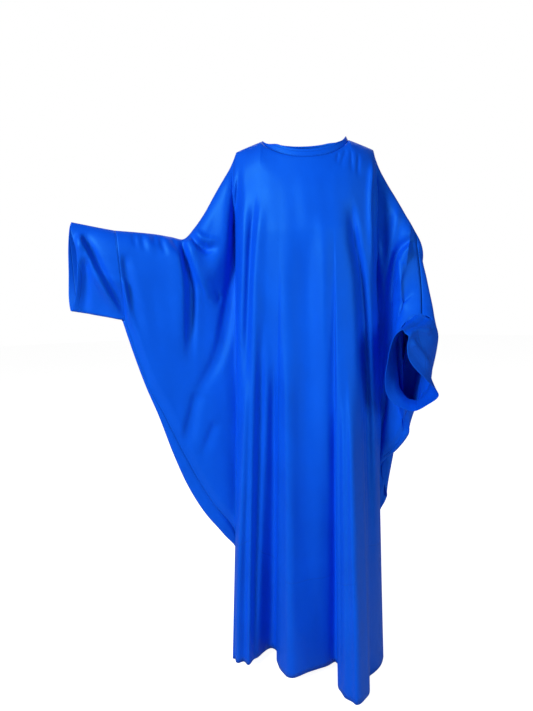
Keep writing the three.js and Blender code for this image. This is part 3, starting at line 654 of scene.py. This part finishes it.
def panel_grid(lines):
    stretches = [(0, BODY_START, SLEEVE_LINES),
                 (BODY_START, lines.body_end, SKIRT_LINES[lines.side]),
                 (lines.body_end, lines.last, SLEEVE_LINES)]
    parts = [np.linspace(a, b, (b - a) * n, endpoint=False) for a, b, n in stretches]
    u = np.concatenate(parts + [[lines.last]])
    v = np.linspace(0, 1, DOWN + 1) ** CROWDING
    grid = cloth_point(lines, *np.meshgrid(u, v, indexing="ij"))
    if lines.side > 0:
        q = np.linspace(0, 1, TURN + 1)[1:]
        uu, qq = np.meshgrid(u, q, indexing="ij")
        grid = np.concatenate([grid, cloth_point(lines, uu, np.ones_like(uu), qq)], axis=1)
    return grid


front_grid, back_grid = panel_grid(front_lines), panel_grid(back_lines)
print("front grid", front_grid.shape, "back grid", back_grid.shape)

# %% Objects of the two panels
def panel_uv(grid):
    across = arc_length(grid, 0).mean(axis=1, keepdims=True)
    down = arc_length(grid, 1)
    return stack(across, down)


front_cloth = cloth_object("front_cloth", front_grid, panel_uv(front_grid), flip=True)
back_cloth = cloth_object("back_cloth", back_grid, panel_uv(back_grid))
front_area, back_area = cloth_area(front_grid), cloth_area(back_grid)
print("cloth in front %.2f m2, behind %.2f m2" % (front_area, back_area))

# %% [markdown]
# ## Sleeve ends
# Each wing ends in a short straight tube of its own, seamed on and hemmed. The raised one hangs
# almost flat and folds below the wrist. The hanging one opens towards the front, and is gathered
# where it is sewn on. The tube starts a little inside the wing's edge, so that no slit shows.

# %% Openings of the sleeve ends
RAISED_OPENING = [
    (-577, -103, -219), (-573, -120, -236), (-566, -128, -262), (-559, -126, -290),
    (-563, -118, -340), (-575, -107, -392), (-594, -95, -434), (-603, -83, -402),
    (-602, -77, -340), (-598, -80, -280), (-588, -91, -234)]
HANGING_OPENING = [
    (210, -185, -495), (195, -180, -503), (185, -172, -529), (180, -162, -568), (177, -150, -611),
    (182, -142, -647), (197, -136, -672), (229, -130, -692), (256, -128, -699), (284, -138, -682),
    (307, -152, -655), (270, -178, -615), (236, -190, -582), (220, -196, -557), (216, -198, -530),
    (219, -193, -508)]
CUFF_START = -0.6
CUFF_LEAD = 4
AROUND = 200
ALONG = 60
MOUTH_STEPS = 12
# How early on its way a line of the tube heads for the mouth
MOUTH_LEAD = 1.4
# Lines inside the wing's edge that give the direction in which it ends
INSIDE = 4


def even_places(points, count):
    lengths = np.linalg.norm(np.roll(points, -1, axis=0) - points, axis=1)
    sums = np.concatenate([[0], np.cumsum(lengths)])
    target = np.arange(count) / count * sums[-1]
    i = np.clip(np.searchsorted(sums, target, side="right") - 1, 0, len(points) - 1)
    return i, ((target - sums[i]) / np.maximum(lengths[i], 1e-9))[:, None]


def pick(points, places):
    i, t = places
    return mix(points[i], points[(i + 1) % len(points)], t)


def sleeve_end_grid(edge, before, opening):
    seam, inner = (np.vstack([front, back[::-1]]) for front, back in (edge, before))
    places = even_places(seam, AROUND)
    starts = pick(seam, places)
    runs = unit(pick(unit(seam - inner), places))
    mouth = curve(opening, np.arange(0, len(opening), 1 / MOUTH_STEPS), closed=True)
    ends = pick(mouth, even_places(mouth, AROUND))
    leaving = unit(ends.mean(axis=0) - starts.mean(axis=0))
    lead = starts + runs * (CUFF_START + CUFF_LEAD)
    reach = np.linalg.norm(ends - lead, axis=1)[:, None]
    lines = [starts + runs * CUFF_START]
    for t in np.linspace(0, 1, ALONG):
        early = lead + leaving * reach * t
        lines.append(mix(early, mix(lead, ends, t), smooth(t * MOUTH_LEAD)))
    return np.stack(lines, axis=1)


right_end_grid = sleeve_end_grid(
    (front_grid[0], back_grid[0]), (front_grid[INSIDE], back_grid[INSIDE]), RAISED_OPENING)
left_end_grid = sleeve_end_grid(
    (front_grid[-1], back_grid[-1]), (front_grid[-1 - INSIDE], back_grid[-1 - INSIDE]),
    HANGING_OPENING)
print("sleeve end grids", right_end_grid.shape, left_end_grid.shape)

# %% Folds of the sleeve ends
RAISED_FOLDS = [
    (12, 15, 6, 0.2, [(-556, -250), (-547, -272), (-538, -289), (-530, -309), (-520, -335),
        (-505, -369), (-490, -413), (-478, -446), (-462, -490)]),
    (-8, 4, 11, 0.4, [(-546, -246), (-536, -268), (-526, -292), (-514, -322), (-500, -352),
        (-487, -390), (-474, -430), (-460, -480)]),
    (7, 8, 10, 0.3, [(-552, -240), (-552, -270), (-554, -300), (-560, -335), (-572, -380),
        (-590, -440)]),
    (-7, 12, 9, 0.4, [(-538, -300), (-542, -335), (-549, -375), (-560, -425), (-570, -470)]),
]
HANGING_FOLDS = [
    (9, 8, 8, 0.2, [(330, -440), (300, -450), (276, -461), (252, -471), (226, -482), (202, -500),
        (187, -524), (180, -552), (178, -600)]),
    (-10, 8, 7, 0.3, [(312, -462), (288, -468), (264, -477), (240, -484), (220, -492),
        (206, -506), (198, -528), (196, -560)]),
    (6, 7, 9, 0.3, [(300, -500), (276, -498), (252, -494), (232, -496), (216, -508),
        (210, -530)]),
    (7, 9, 9, 0.3, [(222, -510), (240, -534), (262, -557), (284, -586), (310, -620)]),
]
# The folds lie on the side that faces the front and fade out where the tube turns away
FRONT_FROM = 0.1
FRONT_OVER = 0.5


def fold_tube(grid, creases):
    normal = unit(np.cross(np.roll(grid, -1, 0) - np.roll(grid, 1, 0), np.gradient(grid, axis=1)))
    middle = grid.mean(axis=(0, 1))
    facing = np.sign(np.sum(normal * (grid - middle), axis=-1, keepdims=True).mean())
    depth = crease_depth(creases, grid[..., 0], grid[..., 2])
    front = smooth((-normal[..., 1] * facing + FRONT_FROM) / FRONT_OVER)
    return grid + normal * facing * (depth * front)[..., None]


right_end_grid = fold_tube(right_end_grid, RAISED_FOLDS)
left_end_grid = fold_tube(left_end_grid, HANGING_FOLDS)


def tube_uv(grid):
    ring = np.vstack([grid, grid[:1]])
    around = arc_length(ring, 0)[:-1].mean(axis=1, keepdims=True)
    return stack(around, arc_length(grid, 1))


right_end = cloth_object("right_sleeve_end_cloth", right_end_grid, tube_uv(right_end_grid),
                         closed=True, flip=True)
left_end = cloth_object("left_sleeve_end_cloth", left_end_grid, tube_uv(left_end_grid),
                        closed=True)
right_end_area, left_end_area = (cloth_area(g, True) for g in (right_end_grid, left_end_grid))
print("sleeve ends %.3f and %.3f m2" % (right_end_area, left_end_area))

# %% [markdown]
# ## Neck band
# A narrow doubled band finishes the neck. It stands on the neckline, leans in a little and is
# stitched along its foot. A swept curve could make it, but a grid like the other pieces' keeps its
# foot on the neckline and carries the same weave. It is thicker, because it is folded double, and
# it lies down towards the shoulders.

# %% Neck band
BAND = dict(height=18.5, lean=5, wall=2.2, laid_down=0.88, sloped=0.42)
BAND_AROUND = 360
BAND_UP = 12
# The foot stays just inside the neck's ends, with its points spread towards them
BAND_INSET = 0.999
BAND_SPREAD = 0.92
# Where the band starts to lie down on its way to a shoulder, and over what share
SHOULDER_FROM = 0.6
SHOULDER_OVER = 0.4
# Gap under the foot, and how much more it is at the shoulders
FOOT_GAP = 0.1
FOOT_LIFT = 1.6
FOOT_LIFT_BOW = 1.5


def band_grid():
    angle = np.arange(BAND_AROUND) / BAND_AROUND * 2 * pi
    across = np.sin(angle)
    x = NECK["half"] * BAND_INSET * np.sign(across) * np.abs(across) ** BAND_SPREAD
    front, back = shoulder_point(x, -1), shoulder_point(x, 1)
    foot = np.where((np.cos(angle) > 0)[:, None], front, back)
    inward = unit(foot * np.array([-1.0, -1.0, 0.0]))
    laid_down = BAND["laid_down"] * smooth((-across - SHOULDER_FROM) / SHOULDER_OVER)
    sloped = BAND["sloped"] * smooth((across - SHOULDER_FROM) / SHOULDER_OVER)
    standing = 1 - laid_down - sloped
    lift = FOOT_LIFT * np.abs(across) ** FOOT_LIFT_BOW
    lines = []
    for k in range(BAND_UP + 1):
        rise = k / BAND_UP
        height = SEAM_GAP + FOOT_GAP + lift + rise * BAND["height"] * standing
        lines.append(foot + stack(0.0, 0.0, height) + inward * BAND["lean"] * rise)
    return np.stack(lines, axis=1)


neck_grid = band_grid()
neck_band = cloth_object("neck_band_cloth", neck_grid, tube_uv(neck_grid), BAND["wall"],
                         closed=True, flip=True)
neck_area = cloth_area(neck_grid, True)
print("neck band %.3f m2" % neck_area)

# %% [markdown]
# ## Crepe
# The cloth is a polyester crepe: smooth from a step away, with a soft sheen and a very fine pebbled
# weave. The weave is a bump made from two crossing waves in the flat cloth's own metres. A second,
# larger noise shifts the blue and the roughness a little, as handled cloth does.

# %% Helpers for shader nodes
def add_socket(group, name, kind, out=False, value=None):
    direction = "OUTPUT" if out else "INPUT"
    socket = group.interface.new_socket(name=name, in_out=direction, socket_type=kind)
    if value is not None:
        socket.default_value = value


def node(tree, kind, **settings):
    made = tree.nodes.new(kind)
    for key, value in settings.items():
        setattr(made, key, value)
    return made


def math_node(tree, operation, a, b=None):
    made = node(tree, "ShaderNodeMath", operation=operation)
    for k, value in enumerate((a, b)):
        if isinstance(value, (int, float)):
            made.inputs[k].default_value = value
        elif value is not None:
            tree.links.new(value, made.inputs[k])
    return made.outputs[0]


def flat_noise(tree, vector, scale, detail):
    made = node(tree, "ShaderNodeTexNoise", noise_dimensions="2D")
    made.inputs["Scale"].default_value = scale
    made.inputs["Detail"].default_value = detail
    tree.links.new(vector, made.inputs["Vector"])
    return made.outputs["Fac"]


# %% Node group for the crepe's weave and shade
# Pebbles and handled patches to a metre, and how strong the threads are beside the pebbles
PEBBLES = 900
PATCHES = 9
THREAD_SHARE = 0.35
# A full wave is a turn of 2 pi, and a metre has 1000 millimetres
TURN_PER_METRE = 2000 * pi


def crepe_weave_group():
    tree = bpy.data.node_groups.new("crepe_weave", "ShaderNodeTree")
    add_socket(tree, "Cloth Metres", "NodeSocketVector")
    add_socket(tree, "Thread Millimetres", "NodeSocketFloat", value=0.5)
    add_socket(tree, "Height", "NodeSocketFloat", out=True)
    add_socket(tree, "Shade", "NodeSocketFloat", out=True)
    inside, outside = tree.nodes.new("NodeGroupInput"), tree.nodes.new("NodeGroupOutput")
    metres = inside.outputs["Cloth Metres"]
    split = node(tree, "ShaderNodeSeparateXYZ")
    tree.links.new(metres, split.inputs[0])
    per_metre = math_node(tree, "DIVIDE", TURN_PER_METRE, inside.outputs["Thread Millimetres"])
    waves = []
    for axis in ("X", "Y"):
        turns = math_node(tree, "MULTIPLY", split.outputs[axis], per_metre)
        waves.append(math_node(tree, "SINE", turns))
    threads = math_node(tree, "MULTIPLY", *waves)
    pebble = flat_noise(tree, metres, PEBBLES, 3)
    height = math_node(tree, "ADD", math_node(tree, "MULTIPLY", threads, THREAD_SHARE), pebble)
    tree.links.new(height, outside.inputs["Height"])
    tree.links.new(flat_noise(tree, metres, PATCHES, 4), outside.inputs["Shade"])
    return tree


crepe_weave = crepe_weave_group()
print("crepe group sockets:", [s.name for s in crepe_weave.interface.items_tree])

# %% [markdown]
# ## Stitching
# Hems and seams are sewn with a row of short stitches. The group draws one row at a set distance
# from the edge: a groove where the thread pulls the cloth down, and a thread on top of it, broken
# into stitches along the edge.

# %% Node group for a row of stitches
# A groove closes within 1 / 700 of a metre; a thread is 0.8 mm wide and fills 72% of a stitch
GROOVE_FADE = 700.0
THREAD_HALF = 0.0004
STITCH_SHOWN = 0.72


def stitch_row_group():
    tree = bpy.data.node_groups.new("stitch_row", "ShaderNodeTree")
    add_socket(tree, "Along", "NodeSocketFloat")
    add_socket(tree, "From Edge", "NodeSocketFloat")
    add_socket(tree, "Row", "NodeSocketFloat", value=0.006)
    add_socket(tree, "Stitch", "NodeSocketFloat", value=0.003)
    add_socket(tree, "Thread", "NodeSocketFloat", out=True)
    add_socket(tree, "Groove", "NodeSocketFloat", out=True)
    inside, outside = tree.nodes.new("NodeGroupInput"), tree.nodes.new("NodeGroupOutput")
    told = inside.outputs
    past_row = math_node(tree, "SUBTRACT", told["From Edge"], told["Row"])
    away = math_node(tree, "ABSOLUTE", past_row)
    groove = math_node(tree, "SUBTRACT", 1.0, math_node(tree, "MULTIPLY", away, GROOVE_FADE))
    groove = math_node(tree, "MAXIMUM", groove, 0.0)
    tree.links.new(groove, outside.inputs["Groove"])
    phase = math_node(tree, "FRACT", math_node(tree, "DIVIDE", told["Along"], told["Stitch"]))
    shown = math_node(tree, "LESS_THAN", phase, STITCH_SHOWN)
    near = math_node(tree, "LESS_THAN", away, THREAD_HALF)
    tree.links.new(math_node(tree, "MULTIPLY", shown, near), outside.inputs["Thread"])
    return tree


stitch_row = stitch_row_group()
print("stitch group sockets:", [s.name for s in stitch_row.interface.items_tree])

# %% [markdown]
# ## The cloth material
# Each piece gets the same blue, with its own row of stitches where it is hemmed. Sheen gives the
# light edge that fine fibres have at a grazing angle, and a middling roughness gives the soft
# highlight down each fold.

# %% Material of a piece of crepe
DEEP_BLUE = (0.0004, 0.068, 0.68, 1)
BRIGHT_BLUE = (0.0006, 0.086, 0.80, 1)
THREAD_BLUE = (0.0005, 0.040, 0.50, 1)
GLOSS = {
    "Sheen Weight": 0.04,
    "Sheen Roughness": 0.4,
    "Sheen Tint": (0.10, 0.55, 1, 1),
    "Specular IOR Level": 0.5,
    "Specular Tint": (0.12, 1, 1, 1),
}
SMOOTHEST = 0.50
ROUGHEST = 0.62
# Height of the weave and depth of a stitch groove in metres, and how much of them shows
WEAVE_HEIGHT = 0.00012
GROOVE_DEPTH = 0.0009
RELIEF_SHOWN = 0.6


def crepe_material(name, total_length, hem_row, top_row=None):
    material = bpy.data.materials.new(name)
    material.use_nodes = True
    tree = material.node_tree
    tree.nodes.clear()
    shader = node(tree, "ShaderNodeBsdfPrincipled")
    for socket, value in GLOSS.items():
        shader.inputs[socket].default_value = value
    result = node(tree, "ShaderNodeOutputMaterial")
    tree.links.new(shader.outputs[0], result.inputs["Surface"])
    metres = node(tree, "ShaderNodeUVMap", uv_map="cloth_metres")
    weave = node(tree, "ShaderNodeGroup", node_tree=crepe_weave)
    tree.links.new(metres.outputs[0], weave.inputs["Cloth Metres"])
    colour = node(tree, "ShaderNodeMix", data_type="RGBA")
    colour.inputs[6].default_value = DEEP_BLUE
    colour.inputs[7].default_value = BRIGHT_BLUE
    tree.links.new(weave.outputs["Shade"], colour.inputs[0])
    rough = node(tree, "ShaderNodeMapRange")
    rough.inputs["To Min"].default_value = SMOOTHEST
    rough.inputs["To Max"].default_value = ROUGHEST
    tree.links.new(weave.outputs["Shade"], rough.inputs["Value"])
    tree.links.new(rough.outputs[0], shader.inputs["Roughness"])
    split = node(tree, "ShaderNodeSeparateXYZ")
    tree.links.new(metres.outputs[0], split.inputs[0])
    height = math_node(tree, "MULTIPLY", weave.outputs["Height"], WEAVE_HEIGHT)
    colour_out = colour.outputs[2]
    rows = [(math_node(tree, "SUBTRACT", total_length, split.outputs["Y"]), hem_row)]
    if top_row:
        rows.append((split.outputs["Y"], top_row))
    for from_edge, row in rows:
        stitches = node(tree, "ShaderNodeGroup", node_tree=stitch_row)
        stitches.inputs["Row"].default_value = row
        tree.links.new(split.outputs["X"], stitches.inputs["Along"])
        tree.links.new(from_edge, stitches.inputs["From Edge"])
        sunk = math_node(tree, "MULTIPLY", stitches.outputs["Groove"], GROOVE_DEPTH)
        height = math_node(tree, "SUBTRACT", height, sunk)
        thread = node(tree, "ShaderNodeMix", data_type="RGBA")
        tree.links.new(stitches.outputs["Thread"], thread.inputs[0])
        tree.links.new(colour_out, thread.inputs[6])
        thread.inputs[7].default_value = THREAD_BLUE
        colour_out = thread.outputs[2]
    tree.links.new(colour_out, shader.inputs["Base Color"])
    bump = node(tree, "ShaderNodeBump")
    bump.inputs["Distance"].default_value = 1
    bump.inputs["Strength"].default_value = RELIEF_SHOWN
    tree.links.new(height, bump.inputs["Height"])
    tree.links.new(bump.outputs[0], shader.inputs["Normal"])
    return material


# %% A material for each piece
# Distance of the row of stitches from a hem, and from the seam that a sleeve end hangs from
HEM_ROW = 0.006
CUFF_ROW = 0.004
# The same from the band's upper edge and from its foot
BAND_EDGE_ROW = 0.0015
BAND_FOOT_ROW = 0.002
FINISHES = [
    (front_cloth, "crepe_front", front_grid, HEM_ROW, None),
    (back_cloth, "crepe_back", back_grid, HEM_ROW, None),
    (right_end, "crepe_right_end", right_end_grid, HEM_ROW, CUFF_ROW),
    (left_end, "crepe_left_end", left_end_grid, HEM_ROW, CUFF_ROW),
    (neck_band, "crepe_neck_band", neck_grid, BAND_EDGE_ROW, BAND_FOOT_ROW),
]
for piece, name, grid, hem_row, top_row in FINISHES:
    mean_length = float(arc_length(grid, 1)[:, -1].mean())
    piece.data.materials.append(crepe_material(name, mean_length, hem_row, top_row))
print("materials:", [m.name for m in bpy.data.materials])

# %% [markdown]
# ## Pieces and the part's nodes
# Every piece stands in for one node of the part, which is hidden, and moves with its body; its cloth
# area is printed beside the size of its cut.

# %% Pieces, bodies and cuts
# Piece, node of the part, width and length of the cut in metres, its area, and what it hangs from
CUTS = [
    (front_cloth, "front_panel", (1.22, 1.42), front_area, [back_cloth]),
    (back_cloth, "back_panel", (1.26, 1.42), back_area, [front_cloth]),
    (right_end, "right_sleeve_end", (0.50, 0.14), right_end_area, [front_cloth, back_cloth]),
    (left_end, "left_sleeve_end", (0.50, 0.14), left_end_area, [front_cloth, back_cloth]),
    (neck_band, "neck_band", (0.62, 0.021), neck_area, [front_cloth, back_cloth]),
]
for piece, cad_node, cut, area, carriers in CUTS:
    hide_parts(cad_node)
    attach(piece, "root")
    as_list(carriers)
    print(cad_node, "cloth area %.3f m2 of a cut %.2f by %.2f m" % (area, *cut))

# %% [markdown]
# ## Floor and light
# The garment floats on the shoulders of a wearer who isn't modelled, above a plain pale floor. A
# broad lamp in front on the left lights one side of each fold, a weaker one fills in from the
# right, and a pale surround keeps the shadows soft. Floor and surround look brighter to the camera
# than they shine on the cloth: a photographer lights a white backdrop apart from the garment.

# %% Floor
FLOOR_Z = -1.44
FLOOR_RADIUS = 14
FLOOR_CORNERS = 96
FLOOR_GREY = (0.6, 0.6, 0.6, 1)
FLOOR_GLOW = 0.95
WHITE = (1, 1, 1, 1)
floor_mesh = bpy.data.meshes.new("studio_floor")
angles = np.linspace(0, 2 * pi, FLOOR_CORNERS, endpoint=False)
ring = [(FLOOR_RADIUS * np.cos(a), FLOOR_RADIUS * np.sin(a), FLOOR_Z) for a in angles]
floor_mesh.from_pydata([tuple(map(float, p)) for p in ring], [], [list(range(FLOOR_CORNERS))])
studio_floor = bpy.data.objects.new("studio_floor", floor_mesh)
bpy.context.scene.collection.objects.link(studio_floor)
floor_material = bpy.data.materials.new("pale_floor")
floor_material.use_nodes = True
floor_tree = floor_material.node_tree
floor_shader = floor_tree.nodes["Principled BSDF"]
floor_shader.inputs["Base Color"].default_value = FLOOR_GREY
floor_shader.inputs["Roughness"].default_value = 0.9
floor_shader.inputs["Emission Color"].default_value = WHITE
floor_sight = floor_tree.nodes.new("ShaderNodeLightPath")
floor_glow = math_node(floor_tree, "MULTIPLY", floor_sight.outputs["Is Camera Ray"], FLOOR_GLOW)
floor_tree.links.new(floor_glow, floor_shader.inputs["Emission Strength"])
floor_mesh.materials.append(floor_material)
print("floor at", FLOOR_Z, "m")

# %% Lamps and surround
# Name, place and width in metres, and power in watts
LAMPS = [
    ("key", (-2.2, -2.4, 1.1), 1.0, 122),
    ("fill", (2.2, -2.1, 0.1), 1.4, 28),
    ("back", (0.4, 2.6, 1.2), 2.4, 30),
]
LAMPS_AIM = Vector((0, 0, -0.7))
SURROUND_LIGHT = 0.05
SURROUND_SEEN = 1.0
for name, place, size, power in LAMPS:
    data = bpy.data.lights.new(name, "AREA")
    data.shape = "DISK"
    data.size = size
    data.energy = power
    lamp = bpy.data.objects.new(name, data)
    lamp.location = place
    aim = LAMPS_AIM - Vector(place)
    lamp.rotation_euler = aim.to_track_quat("-Z", "Y").to_euler()
    bpy.context.scene.collection.objects.link(lamp)

world = bpy.data.worlds.new("pale_surround")
world.use_nodes = True
surround = world.node_tree.nodes["Background"]
surround.inputs["Color"].default_value = WHITE
sight = world.node_tree.nodes.new("ShaderNodeLightPath")
seen = node(world.node_tree, "ShaderNodeMapRange")
seen.inputs["To Min"].default_value = SURROUND_LIGHT
seen.inputs["To Max"].default_value = SURROUND_SEEN
world.node_tree.links.new(sight.outputs["Is Camera Ray"], seen.inputs["Value"])
world.node_tree.links.new(seen.outputs[0], surround.inputs["Strength"])
bpy.context.scene.world = world
bpy.context.scene.view_settings.view_transform = "Standard"
print("lamps:", [row[0] for row in LAMPS])

# %% [markdown]
# ## Last update
# The scene is brought up to date once more. The model may stand only a little proud of
# the part.

# %% Bring the scene up to date
bpy.context.view_layer.update()
